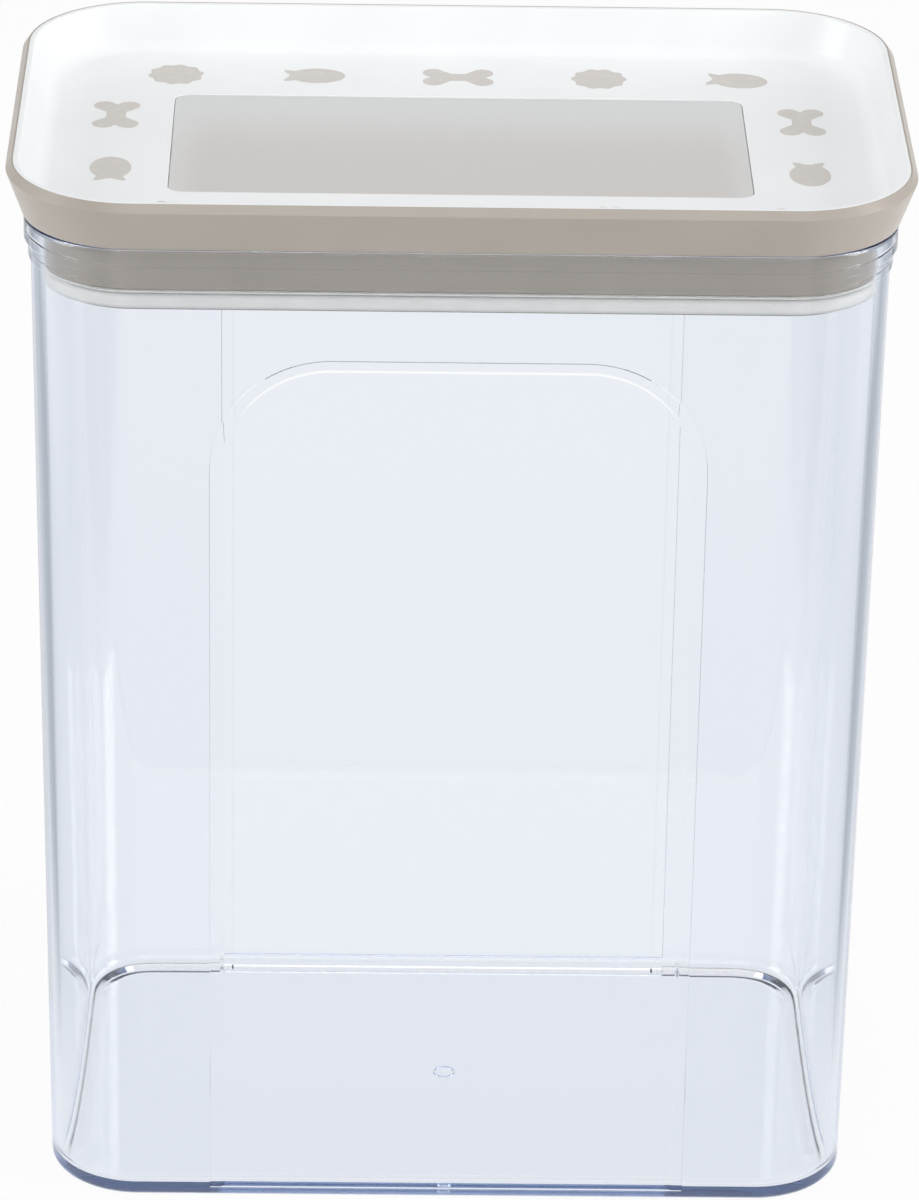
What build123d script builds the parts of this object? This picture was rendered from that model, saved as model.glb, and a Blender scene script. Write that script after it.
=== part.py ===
"""Airtight storage jar: a clear, slightly tapered container and a plug lid that lifts straight off.

The lid is a flared base with a plug skirt, a silicone seal in a groove round the foot of the skirt, a dished
top plate and a window panel that is held between the plate and the base.
Millimetres, +Z up, the front faces -Y. The origin is at the middle of the foot, on the surface it stands on.
"""
from build123d import *
import math
import os

# Container: outer wall at the mouth, walls and floor
JAR_WIDTH = 190.0
JAR_DEPTH = 118.4
JAR_HEIGHT = 239.8
CORNER_RADIUS = 23.0
DRAFT = 2.25
WALL = 2.6
FLOOR = 2.5
FLOOR_FILLET = 2.2
LEAD_IN = 1.0

# Container: two bands round the mouth, each standing proud of the wall
LOWER_BAND_DROP = 9.8
LOWER_BAND_PROUD = 0.5
UPPER_BAND_DROP = 5.8
UPPER_BAND_PROUD = 1.4

# Container: foot
FOOT_EDGE = 1.0
FOOT_RING = 6.5
FOOT_RECESS = 0.6

# Container: arch pressed into the front and back walls
ARCH_WIDTH = 110.0
ARCH_TOP = 213.5
ARCH_FOOT = 2.4
ARCH_CORNER = 27.0
ARCH_BAND = 2.75
ARCH_RELIEF = 0.9

# Lid: flared rim, measured outwards from the container's wall and upwards from its mouth
SHADOW_GAP = 0.4
LANDING = 0.6
FLARE_FOOT = 1.7
FLARE_EDGE = 5.2
FLARE_HEIGHT = 10.2
LID_HEIGHT = 12.0
BEVEL = 1.3
RIM_LAND = 0.3

# Lid: dished top plate
DISH_DEPTH = 10.2
DISH_FILLET = 4.0
PLATE = 1.2
PLATE_HEEL = 2.0

# Lid: window panel and the cut-out it shows through
WINDOW_WIDTH = 130.0
WINDOW_DEPTH = 60.0
WINDOW_CORNER = 3.5
WINDOW_SINK = 0.2
WINDOW_GAP = 0.1
PANEL_FLANGE = 2.0
PANEL_THICKNESS = 1.2
REBATE_GAP = 0.2
SHELF_REACH = 2.0

# Lid: plug skirt and seal groove
BASE_FLOOR = 2.4
SKIRT_GAP = 0.8
SKIRT_WALL = 2.0
LEAD_IN_GAP = 0.3
GROOVE_TOP_DROP = 10.6
GROOVE_HEIGHT = 4.6
GROOVE_DEPTH = 3.1
GROOVE_WALL = 2.0
GROOVE_ROOF = 1.8
KEEPER = 0.8
KEEPER_REACH = 1.3

# Seal: gap to the container's wall, the thin upper fin and the round bead under it
SEAL_GAP = 0.25
FIN_THICKNESS = 0.7
FIN_SHORTER = 0.15
FIN_TO_BEAD = 0.5
BEAD_HEIGHT = 3.4
BEAD_EDGE = 1.0

# Heights that follow from the sizes above
LID_TOP = JAR_HEIGHT + LID_HEIGHT
EDGE_Z = JAR_HEIGHT + FLARE_HEIGHT
FLARE_Z = JAR_HEIGHT + SHADOW_GAP
DISH_Z = LID_TOP - DISH_DEPTH
PLATE_Z = DISH_Z - PLATE
BASE_Z = PLATE_Z - BASE_FLOOR
PANEL_Z = PLATE_Z - PANEL_THICKNESS
GROOVE_TOP = JAR_HEIGHT - GROOVE_TOP_DROP
GROOVE_FOOT = GROOVE_TOP - GROOVE_HEIGHT
PLUG_FOOT = GROOVE_FOOT - KEEPER
HUB_Z = GROOVE_TOP + GROOVE_ROOF

# Lean of the container's wall and of the flare, in degrees, and places outwards from the container's outer wall
LEAN = math.degrees(math.atan(DRAFT / JAR_HEIGHT))
SLOPE = (FLARE_EDGE - FLARE_FOOT) / (EDGE_Z - FLARE_Z)
FLARE_LEAN = math.degrees(math.atan(SLOPE))
BEVEL_LEAN = math.degrees(math.atan(BEVEL / (LID_TOP - EDGE_Z)))
RIM_INNER = FLARE_EDGE - BEVEL - RIM_LAND
SKIRT = -WALL - SKIRT_GAP
SKIRT_INNER = SKIRT - SKIRT_WALL
GROOVE_ROOT = SKIRT - GROOVE_DEPTH
HUB_INNER = GROOVE_ROOT - GROOVE_WALL
KEEPER_EDGE = GROOVE_ROOT + KEEPER_REACH
SEAL_EDGE = -WALL - DRAFT * (JAR_HEIGHT - GROOVE_FOOT) / JAR_HEIGHT - SEAL_GAP


# Faces this close in height count as level with each other
TOUCH = 0.01


def outline(offset, z=JAR_HEIGHT):
    """Draw the jar's rounded outline, offset outwards from its outer wall as that is at height z."""
    grow = offset - DRAFT * (1 - z / JAR_HEIGHT)
    RectangleRounded(JAR_WIDTH + 2 * grow, JAR_DEPTH + 2 * grow, CORNER_RADIUS + grow)


def level_faces(piece, z):
    """Return the level faces of a piece that lie at height z."""
    return piece.faces().filter_by(Axis.Z).filter_by_position(Axis.Z, z - TOUCH, z + TOUCH)


def window(grow):
    """Draw the window's rounded outline, grown outwards by the given amount."""
    RectangleRounded(WINDOW_WIDTH + 2 * grow, WINDOW_DEPTH + 2 * grow, WINDOW_CORNER + grow)


# Container
with BuildPart() as container:
    with BuildSketch():
        outline(0, 0)
    extrude(amount=JAR_HEIGHT, taper=-LEAN)
    chamfer(level_faces(container, 0).edges(), FOOT_EDGE)

    # Relief on the front and back walls, cut square to each leaning wall
    for side in (-1, 1):
        normal = Vector(0, side * JAR_HEIGHT, -DRAFT).normalized()
        foot_of_wall = Vector(0, side * (JAR_DEPTH / 2 - DRAFT), 0)
        for rise in (0, 1.5 * ARCH_RELIEF):
            wall_plane = Plane(foot_of_wall + normal * (rise - ARCH_RELIEF), x_dir=(-side, 0, 0), z_dir=normal)
            spread = ARCH_BAND * (rise / ARCH_RELIEF - 1)
            with BuildSketch(wall_plane) as arch:
                with Locations((0, ARCH_FOOT)):
                    arch_size = (ARCH_WIDTH + 2 * spread, ARCH_TOP + spread - ARCH_FOOT)
                    Rectangle(*arch_size, align=(Align.CENTER, Align.MIN))
                fillet(arch.vertices().group_by(Axis.Y)[-1], ARCH_CORNER + spread)
        loft(mode=Mode.SUBTRACT)

    # Bands round the mouth
    for drop, proud in ((LOWER_BAND_DROP, LOWER_BAND_PROUD), (UPPER_BAND_DROP, UPPER_BAND_PROUD)):
        with BuildSketch(Plane.XY.offset(JAR_HEIGHT - drop)):
            outline(proud)
        extrude(amount=drop)

    # Inside, with its rounded floor and the lead-in at the mouth
    with BuildSketch(Plane.XY.offset(FLOOR)):
        outline(-WALL, FLOOR)
    extrude(amount=JAR_HEIGHT - FLOOR, taper=-LEAN, mode=Mode.SUBTRACT)
    fillet(level_faces(container, FLOOR).edges(), FLOOR_FILLET)
    mouth = level_faces(container, JAR_HEIGHT)[0]
    chamfer(mouth.inner_wires()[0].edges(), LEAD_IN)

    # Recess inside the standing ring
    with BuildSketch():
        outline(-FOOT_RING, 0)
    extrude(amount=FOOT_RECESS, mode=Mode.SUBTRACT)

# Blank of the dished plate: its outer skin, which is also the pocket in the base
with BuildPart() as plate_blank:
    with BuildSketch(Plane.XY.offset(PLATE_Z)):
        outline(RIM_INNER - SLOPE * (LID_TOP - PLATE_Z))
    extrude(amount=LID_TOP - PLATE_Z, taper=-FLARE_LEAN)
    chamfer(level_faces(plate_blank, PLATE_Z).edges(), PLATE_HEEL)

# Hollow of the dish, one plate thickness inside the blank
with BuildPart() as dish:
    with BuildSketch(Plane.XY.offset(DISH_Z)):
        outline(RIM_INNER - PLATE - SLOPE * DISH_DEPTH)
    extrude(amount=DISH_DEPTH, taper=-FLARE_LEAN)
    fillet(level_faces(dish, DISH_Z).edges(), DISH_FILLET)

# Lid plate
with BuildPart() as lid_plate:
    add(plate_blank.part)
    add(dish.part, mode=Mode.SUBTRACT)
    with BuildSketch(Plane.XY.offset(PLATE_Z)):
        window(0)
    extrude(amount=PLATE, mode=Mode.SUBTRACT)

# Window panel, with the flange that the plate holds down
with BuildPart() as window_panel:
    with BuildSketch(Plane.XY.offset(PANEL_Z)):
        window(PANEL_FLANGE)
    extrude(amount=PANEL_THICKNESS)
    with BuildSketch(Plane.XY.offset(PANEL_Z)):
        window(-WINDOW_GAP)
    extrude(amount=DISH_Z - WINDOW_SINK - PANEL_Z)

# Lid base: flared rim, landing on the mouth, plug skirt and seal groove
with BuildPart() as lid_base:
    with BuildSketch(Plane.XY.offset(FLARE_Z)):
        outline(FLARE_FOOT)
    extrude(amount=EDGE_Z - FLARE_Z, taper=-FLARE_LEAN)
    with BuildSketch(Plane.XY.offset(EDGE_Z)):
        outline(FLARE_EDGE)
    extrude(amount=LID_TOP - EDGE_Z, taper=BEVEL_LEAN)
    with BuildSketch(Plane.XY.offset(JAR_HEIGHT)):
        outline(LANDING)
    extrude(amount=SHADOW_GAP)

    # Collar that follows the lead-in of the mouth
    collar_drop = LEAD_IN + SKIRT_GAP - LEAD_IN_GAP
    with BuildSketch(Plane.XY.offset(JAR_HEIGHT - collar_drop)):
        outline(SKIRT)
    extrude(amount=collar_drop, taper=-45)

    # Plug, with the keeper that holds the seal from below
    with BuildSketch(Plane.XY.offset(GROOVE_TOP)):
        outline(SKIRT)
    extrude(amount=JAR_HEIGHT - GROOVE_TOP)
    with BuildSketch(Plane.XY.offset(GROOVE_FOOT)):
        outline(GROOVE_ROOT)
    extrude(amount=GROOVE_HEIGHT)
    with BuildSketch(Plane.XY.offset(PLUG_FOOT)):
        outline(KEEPER_EDGE)
    extrude(amount=KEEPER)

    # Pocket for the plate, rebate for the panel's flange and the opening under it
    add(plate_blank.part, mode=Mode.SUBTRACT)
    with BuildSketch(Plane.XY.offset(PANEL_Z)):
        window(PANEL_FLANGE + REBATE_GAP)
    extrude(amount=PANEL_THICKNESS, mode=Mode.SUBTRACT)
    with BuildSketch(Plane.XY.offset(BASE_Z)):
        window(PANEL_FLANGE - SHELF_REACH - WINDOW_GAP)
    extrude(amount=BASE_FLOOR, mode=Mode.SUBTRACT)

    # Hollow under the base
    with BuildSketch(Plane.XY.offset(PLUG_FOOT)):
        outline(HUB_INNER)
    extrude(amount=BASE_Z - PLUG_FOOT, mode=Mode.SUBTRACT)
    with BuildSketch(Plane.XY.offset(HUB_Z)):
        outline(SKIRT_INNER)
    extrude(amount=BASE_Z - HUB_Z, mode=Mode.SUBTRACT)

# Seal: core in the groove, fin and bead towards the container's wall
with BuildPart() as lid_seal:
    with BuildSketch(Plane.XY.offset(GROOVE_TOP - FIN_THICKNESS)):
        outline(SEAL_EDGE - FIN_SHORTER)
    extrude(amount=FIN_THICKNESS)
    with BuildSketch(Plane.XY.offset(GROOVE_TOP - FIN_THICKNESS - FIN_TO_BEAD - BEAD_HEIGHT)):
        outline(SEAL_EDGE)
    extrude(amount=BEAD_HEIGHT)
    bead = lid_seal.faces().filter_by(Axis.Z).sort_by(Axis.Z)[:2]
    chamfer(bead.edges(), BEAD_EDGE)
    with BuildSketch(Plane.XY.offset(GROOVE_FOOT)):
        outline(KEEPER_EDGE)
    extrude(amount=GROOVE_HEIGHT)
    with BuildSketch(Plane.XY.offset(GROOVE_FOOT)):
        outline(GROOVE_ROOT)
    extrude(amount=GROOVE_HEIGHT, mode=Mode.SUBTRACT)

os.makedirs("parts", exist_ok=True)
pieces = {
    "container": container,
    "lid_base": lid_base,
    "lid_plate": lid_plate,
    "window_panel": window_panel,
    "lid_seal": lid_seal,
}
for name, piece in pieces.items():
    piece.part.label = name
    export_step(piece.part, f"parts/{name}.step")
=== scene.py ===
"""Studio scene of an airtight storage jar: a clear tapered container under a flared plug lid.

Every piece is swept as a moulded section round the jar's rounded outline, in metres, in the frame that the
CAD model sets. The container is clear plastic with an arch pressed into its front and back walls. The lid
carries a dished white plate with a printed border, a frosted window panel and a silicone seal.
"""

import logging
import math
from dataclasses import dataclass
from enum import Enum
from typing import Any, Iterable, Optional, Sequence, Union

import bmesh
import bpy
from mathutils import Matrix, Vector


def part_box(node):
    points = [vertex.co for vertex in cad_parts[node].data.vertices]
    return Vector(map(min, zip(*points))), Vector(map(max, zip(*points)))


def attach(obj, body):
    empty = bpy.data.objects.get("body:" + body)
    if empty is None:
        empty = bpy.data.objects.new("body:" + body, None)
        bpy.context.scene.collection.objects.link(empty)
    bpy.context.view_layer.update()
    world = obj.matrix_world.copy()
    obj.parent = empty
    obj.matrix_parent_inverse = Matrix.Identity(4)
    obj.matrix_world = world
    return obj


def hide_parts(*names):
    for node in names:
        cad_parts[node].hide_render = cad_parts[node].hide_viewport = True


LOG = logging.getLogger("storage_jar")
MM = 0.001
CORNER_STEPS = 24
ROUND_STEPS = 6
SHARP_ANGLE = math.radians(32)
CLOSE = 0.01 * MM
SMALLEST_ROUND = 0.3 * MM
FULL_CHANNEL = 255
CURVE_TOE = 0.04045
CURVE_SLOPE = 12.92
CURVE_OFFSET = 0.055
CURVE_POWER = 2.4
NOISE_MEAN = 0.5
TINY = 1e-6
QUARTERS = 4
MIX_ENDS = (6, 7)
MIX_RESULT = 2

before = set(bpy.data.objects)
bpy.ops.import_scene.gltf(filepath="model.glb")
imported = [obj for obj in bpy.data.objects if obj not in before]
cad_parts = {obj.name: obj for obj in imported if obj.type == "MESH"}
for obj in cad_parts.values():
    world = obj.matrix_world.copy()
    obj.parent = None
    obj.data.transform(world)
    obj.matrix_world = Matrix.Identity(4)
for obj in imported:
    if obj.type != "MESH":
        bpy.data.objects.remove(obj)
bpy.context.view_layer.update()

Colour = tuple[float, float, float]
Span = tuple[float, float]
Number = Union[float, int, "Wire"]
Sockets = dict[Union[str, int], Any]
Shape = Union["Outline", "ArchOutline"]


def srgb(*channels: int) -> Colour:
    """Turn a display colour into the linear one that shaders use.

    Args:
        channels: Red, green and blue, 0 to 255.

    Returns:
        The linear colour.
    """
    def linear(value: float) -> float:
        """Undo the display curve of one channel."""
        curved = ((value + CURVE_OFFSET) / (1 + CURVE_OFFSET)) ** CURVE_POWER
        return value / CURVE_SLOPE if value <= CURVE_TOE else curved

    return tuple(linear(channel / FULL_CHANNEL) for channel in channels)


class Wire:
    """A shader value that Python's operators work on: each operation adds its Math node."""

    def __init__(self, tree: bpy.types.NodeTree, socket: bpy.types.NodeSocket) -> None:
        """Hold one output socket of a tree."""
        self.tree = tree
        self.socket = socket

    def math(self, operation: str, *values: Number) -> "Wire":
        """Add a Math node.

        Args:
            operation: The node's operation.
            values: Its inputs in order, as numbers or wires.

        Returns:
            The result as a new wire.
        """
        node = self.tree.nodes.new("ShaderNodeMath")
        node.operation = operation
        for slot, value in zip(node.inputs, values):
            if isinstance(value, Wire):
                self.tree.links.new(value.socket, slot)
            else:
                slot.default_value = value
        return Wire(self.tree, node.outputs[0])

    def __add__(self, other: Number) -> "Wire":
        """Add."""
        return self.math("ADD", self, other)

    def __radd__(self, other: Number) -> "Wire":
        """Add to a number."""
        return self.math("ADD", other, self)

    def __sub__(self, other: Number) -> "Wire":
        """Subtract."""
        return self.math("SUBTRACT", self, other)

    def __rsub__(self, other: Number) -> "Wire":
        """Subtract from a number."""
        return self.math("SUBTRACT", other, self)

    def __mul__(self, other: Number) -> "Wire":
        """Multiply."""
        return self.math("MULTIPLY", self, other)

    def __rmul__(self, other: Number) -> "Wire":
        """Multiply a number."""
        return self.math("MULTIPLY", other, self)

    def __abs__(self) -> "Wire":
        """Drop the sign."""
        return self.math("ABSOLUTE", self)

    def either(self, other: Number) -> "Wire":
        """Return the larger of this and another value."""
        return self.math("MAXIMUM", self, other)


@dataclass(frozen=True)
class Noise:
    """A cloud of noise: the size of its features, in metres, and how many finer octaves it has."""

    size: float
    detail: float = 2.0


class Graph:
    """A node tree with one method that adds any node, and short ones for what the finishes share."""

    def __init__(self, tree: bpy.types.NodeTree) -> None:
        """Empty the tree and hold it."""
        self.tree = tree
        tree.nodes.clear()

    def node(
        self,
        kind: str,
        settings: Optional[dict[str, Any]] = None,
        inputs: Optional[Sockets] = None,
    ) -> bpy.types.Node:
        """Add a node.

        Args:
            kind: The node's type.
            settings: Its properties, set first.
            inputs: Values, wires or shader nodes for its sockets, by name or index.

        Returns:
            The node.
        """
        node = self.tree.nodes.new(kind)
        for name, value in (settings or {}).items():
            setattr(node, name, value)
        for name, value in (inputs or {}).items():
            if isinstance(value, Wire):
                self.tree.links.new(value.socket, node.inputs[name])
            elif isinstance(value, bpy.types.Node):
                self.tree.links.new(value.outputs[0], node.inputs[name])
            else:
                node.inputs[name].default_value = value
        return node

    def wire(self, node: bpy.types.Node, output: Union[str, int] = 0) -> Wire:
        """Return one output of a node as a wire."""
        return Wire(self.tree, node.outputs[output])

    def place(self) -> Wire:
        """Return the point's place on the object."""
        return self.wire(self.node("ShaderNodeTexCoord"), "Object")

    def axes(self, vector: Wire) -> tuple[Wire, Wire, Wire]:
        """Return the three parts of a vector."""
        apart = self.node("ShaderNodeSeparateXYZ", inputs={0: vector})
        return tuple(self.wire(apart, axis) for axis in "XYZ")

    def noise(self, noise: Noise) -> Wire:
        """Return a cloud of noise, about 0.5 on average."""
        inputs = {"Vector": self.place(), "Scale": 1 / noise.size, "Detail": noise.detail}
        return self.wire(self.node("ShaderNodeTexNoise", inputs=inputs), "Fac")

    def ramp(self, value: Wire, low: float, high: float) -> Wire:
        """Rise smoothly from 0 where value is low to 1 where it is high."""
        inputs = {"Value": value, "From Min": low, "From Max": high}
        return self.wire(self.node("ShaderNodeMapRange", {"interpolation_type": "SMOOTHSTEP"}, inputs))

    def mix(self, factor: Number, first: Union[Colour, Wire], second: Union[Colour, Wire]) -> Wire:
        """Mix two colours by a factor.

        Args:
            factor: How much of the second colour there is.
            first: The colour at 0.
            second: The colour at 1.

        Returns:
            The mixed colour.
        """
        ends = [(*end, 1.0) if isinstance(end, tuple) else end for end in (first, second)]
        inputs = {0: factor, **dict(zip(MIX_ENDS, ends))}
        return self.wire(self.node("ShaderNodeMix", {"data_type": "RGBA"}, inputs), MIX_RESULT)

    def blend(self, factor: Number, first: bpy.types.Node, second: bpy.types.Node) -> bpy.types.Node:
        """Mix two shaders by a factor."""
        return self.node("ShaderNodeMixShader", inputs={0: factor, 1: first, 2: second})

    def bump(self, height: Wire, depth: float) -> Wire:
        """Return normals for a height from 0 to 1 that stands for a depth in metres."""
        inputs = {"Height": height, "Distance": depth, "Strength": 1.0}
        return self.wire(self.node("ShaderNodeBump", inputs=inputs))


def new_material(name: str) -> tuple[bpy.types.Material, Graph]:
    """Make a material.

    Args:
        name: The material's name.

    Returns:
        The material and its empty graph.
    """
    material = bpy.data.materials.new(name)
    material.use_nodes = True
    return material, Graph(material.node_tree)


@dataclass(frozen=True)
class Finish:
    """A named finish: one Principled shader, whose sockets each kind of finish fills."""

    name: str

    def sockets(self, graph: Graph) -> Sockets:
        """Return the values and wires of the shader's sockets."""
        raise NotImplementedError

    def filling(self, graph: Graph) -> Sockets:
        """Return what fills the solid below the surface, which most finishes leave empty."""
        return {}

    def material(self) -> bpy.types.Material:
        """Build the finish.

        Returns:
            The material.
        """
        material, graph = new_material(self.name)
        surface = graph.node("ShaderNodeBsdfPrincipled", inputs=self.sockets(graph))
        graph.node("ShaderNodeOutputMaterial", inputs={"Surface": surface, **self.filling(graph)})
        return material


@dataclass(frozen=True)
class MouldedPlastic(Finish):
    """Satin moulded plastic: faintly cloudy colour, a fine spark-eroded grain and an uneven sheen."""

    colour: Colour
    shade: Colour
    roughness: float
    clouds: Noise = Noise(28 * MM, 3)
    cloud_edge: Span = (0.3, 0.7)
    sheen: Noise = Noise(7 * MM)
    sheen_spread: float = 0.1
    grain: Noise = Noise(0.45 * MM)
    grain_depth: float = 0.004 * MM
    ior: float = 1.49

    def sockets(self, graph: Graph) -> Sockets:
        """Lay the clouds, the sheen and the grain.

        Args:
            graph: The material's graph.

        Returns:
            The values and wires of the shader's sockets.
        """
        clouds = graph.ramp(graph.noise(self.clouds), *self.cloud_edge)
        sheen = (graph.noise(self.sheen) - NOISE_MEAN) * self.sheen_spread
        return {
            "Base Color": graph.mix(clouds, self.colour, self.shade),
            "Roughness": self.roughness + sheen,
            "Normal": graph.bump(graph.noise(self.grain), self.grain_depth),
            "IOR": self.ior,
        }


@dataclass(frozen=True)
class ClearPlastic(Finish):
    """Polished clear plastic, tinted by its depth, with the soft ripple that a mould leaves in walls."""

    tint: Colour
    depth_tint: Colour
    depth_density: float
    roughness: float = 0.015
    haze: Noise = Noise(9 * MM)
    haze_spread: float = 0.02
    ripple: Noise = Noise(45 * MM, 1)
    ripple_depth: float = 0.02 * MM
    ior: float = 1.53

    def sockets(self, graph: Graph) -> Sockets:
        """Lay the haze and the ripple.

        Args:
            graph: The material's graph.

        Returns:
            The values and wires of the shader's sockets.
        """
        haze = (graph.noise(self.haze) - NOISE_MEAN) * self.haze_spread
        return {
            "Base Color": (*self.tint, 1.0),
            "Roughness": self.roughness + haze,
            "Normal": graph.bump(graph.noise(self.ripple), self.ripple_depth),
            "IOR": self.ior,
            "Transmission Weight": 1.0,
        }

    def filling(self, graph: Graph) -> Sockets:
        """Return the tint that deepens with the plastic's thickness."""
        depth = {"Color": (*self.depth_tint, 1.0), "Density": self.depth_density}
        return {"Volume": graph.node("ShaderNodeVolumeAbsorption", inputs=depth)}


@dataclass(frozen=True)
class FrostedPanel(Finish):
    """Frosted translucent panel with painted light: its colour is painted paler towards its ends and its
    back, where light comes in.
    """

    # colour is the paler back and warm the front, a painted gradient of light; edge is painted light at the
    # ends.
    colour: Colour
    warm: Colour
    edge: Colour
    half_width: float
    half_depth: float
    painted_end_glow: float = 9 * MM
    painted_end_glow_share: float = 0.6
    warm_from: float = -0.4
    roughness: float = 0.36
    haze: Noise = Noise(4 * MM)
    haze_spread: float = 0.12
    frost: Noise = Noise(0.6 * MM, 3)
    frost_depth: float = 0.01 * MM
    ior: float = 1.49
    clearness: float = 0.2

    def sockets(self, graph: Graph) -> Sockets:
        """Lay the painted light of the paler ends and back, the haze and the frost.

        Args:
            graph: The material's graph.

        Returns:
            The values and wires of the shader's sockets.
        """
        across, along, _ = graph.axes(graph.place())
        # Painted light: the ends' ramp and the back ramp paint the panel lighter at its ends and at its
        # back.
        ends = graph.ramp(abs(across), self.half_width - self.painted_end_glow, self.half_width)
        back = graph.ramp(along, self.warm_from * self.half_depth, self.half_depth)
        middle = graph.mix(back, self.warm, self.colour)
        return {
            "Base Color": graph.mix(ends * self.painted_end_glow_share, middle, self.edge),
            "Roughness": self.roughness + (graph.noise(self.haze) - NOISE_MEAN) * self.haze_spread,
            "Normal": graph.bump(graph.noise(self.frost), self.frost_depth),
            "IOR": self.ior,
            "Transmission Weight": self.clearness,
        }


@dataclass(frozen=True)
class MattSkin(Finish):
    """A matt skin whose colour and sheen change with the same fine dust, as on silicone and printed ink."""

    colour: Colour
    shade: Colour
    roughness: float
    dust: Noise
    dust_edge: Span
    dust_spread: float
    grain: Noise
    grain_depth: float
    ior: float

    def sockets(self, graph: Graph) -> Sockets:
        """Lay the dust and the grain.

        Args:
            graph: The material's graph.

        Returns:
            The values and wires of the shader's sockets.
        """
        dust = graph.noise(self.dust)
        return {
            "Base Color": graph.mix(graph.ramp(dust, *self.dust_edge), self.colour, self.shade),
            "Roughness": self.roughness + (dust - NOISE_MEAN) * self.dust_spread,
            "Normal": graph.bump(graph.noise(self.grain), self.grain_depth),
            "IOR": self.ior,
        }


@dataclass(frozen=True)
class Silicone(MattSkin):
    """Soft off-white silicone with a dusty sheen."""

    roughness: float = 0.42
    dust: Noise = Noise(5 * MM, 4)
    dust_edge: Span = (0.35, 0.7)
    dust_spread: float = 0.2
    grain: Noise = Noise(1.2 * MM)
    grain_depth: float = 0.01 * MM
    ior: float = 1.41


@dataclass(frozen=True)
class PrintInk(MattSkin):
    """Flat printed ink, laid a little unevenly on the plate."""

    roughness: float = 0.5
    dust: Noise = Noise(1.8 * MM, 3)
    dust_edge: Span = (0.42, 0.75)
    dust_spread: float = 0.15
    grain: Noise = Noise(0.4 * MM)
    grain_depth: float = 0.003 * MM
    ior: float = 1.5


def draw_rectangle(bm: bmesh.types.BMesh, low: Vector, high: Vector, radius: float, steps: int) -> None:
    """Draw a rectangle as a ring of edges, round at its upper corners, or at all four if it is centred.

    Args:
        bm: The empty mesh to draw in.
        low: Its lowest corner.
        high: Its highest corner.
        radius: The corners' radius.
        steps: Steps round each corner.
    """
    bmesh.ops.create_grid(bm, x_segments=1, y_segments=1, size=0.5)
    bmesh.ops.scale(bm, vec=(high.x - low.x, high.y - low.y, 1), verts=bm.verts[:])
    bmesh.ops.translate(bm, vec=(*((low + high) / 2), 0), verts=bm.verts[:])
    middle = (low.y + high.y) / 2
    centred = abs(middle) < CLOSE
    corners = [vert for vert in bm.verts if centred or vert.co.y > middle]
    bmesh.ops.bevel(
        bm,
        geom=corners,
        offset=radius,
        segments=steps,
        profile=0.5,
        affect="VERTICES",
        material=-1,
    )
    bmesh.ops.delete(bm, geom=bm.faces[:], context="FACES_ONLY")


@dataclass(frozen=True)
class Outline:
    """A rounded rectangle seen from above, centred on the origin."""

    width: float
    depth: float
    radius: float

    def grown(self, by: float) -> "Outline":
        """Return the outline offset outwards by a distance."""
        return Outline(self.width + 2 * by, self.depth + 2 * by, max(self.radius + by, SMALLEST_ROUND))

    def draw(self, bm: bmesh.types.BMesh, steps: int) -> None:
        """Draw the outline as a ring of edges."""
        half = Vector((self.width, self.depth)) / 2
        draw_rectangle(bm, -half, half, self.radius, steps)

    def core(self) -> Vector:
        """Return the centre of the corner in the first quadrant."""
        return Vector((self.width / 2 - self.radius, self.depth / 2 - self.radius))

    def follow(self, point: Vector, old: "Outline") -> Vector:
        """Carry a point over from another outline.

        Args:
            point: A point on the other outline.
            old: That outline.

        Returns:
            The matching point on this outline.
        """
        side = Vector((math.copysign(1, point.x), math.copysign(1, point.y)))
        away = (point.xy - side * old.core()).normalized()
        return side * self.core() + away * self.radius


@dataclass(frozen=True)
class ArchOutline:
    """An arch drawn on a wall: a straight foot, upright legs and round shoulders."""

    width: float
    foot: float
    top: float
    bend: float

    def grown(self, by: float) -> "ArchOutline":
        """Return the arch with its legs and top offset outwards by a distance."""
        return ArchOutline(self.width + 2 * by, self.foot, self.top + by, self.bend + by)

    def draw(self, bm: bmesh.types.BMesh, steps: int) -> None:
        """Draw the arch as a ring of edges."""
        half = self.width / 2
        draw_rectangle(bm, Vector((-half, self.foot)), Vector((half, self.top)), self.bend, steps)

    def follow(self, point: Vector, old: "ArchOutline") -> Vector:
        """Carry a point over from another arch with the same bend centres.

        Args:
            point: A point on the other arch.
            old: That arch.

        Returns:
            The matching point on this arch.
        """
        side = math.copysign(1, point.x)
        centre = Vector((side * (self.width / 2 - self.bend), self.top - self.bend))
        if point.y < centre.y - CLOSE:
            return Vector((side * self.width / 2, self.foot))
        return centre + (point.xy - centre).normalized() * self.bend


@dataclass(frozen=True)
class Corner:
    """One corner of a section: the outline it lies on, how far out of it, its height and how round it is."""

    shape: Outline
    out: float
    z: float
    round: float = 0.0

    def point(self) -> Vector:
        """Return the corner in the plane of the section, X outwards and Y upwards."""
        return Vector((self.shape.width / 2 + self.out, self.z))


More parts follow.
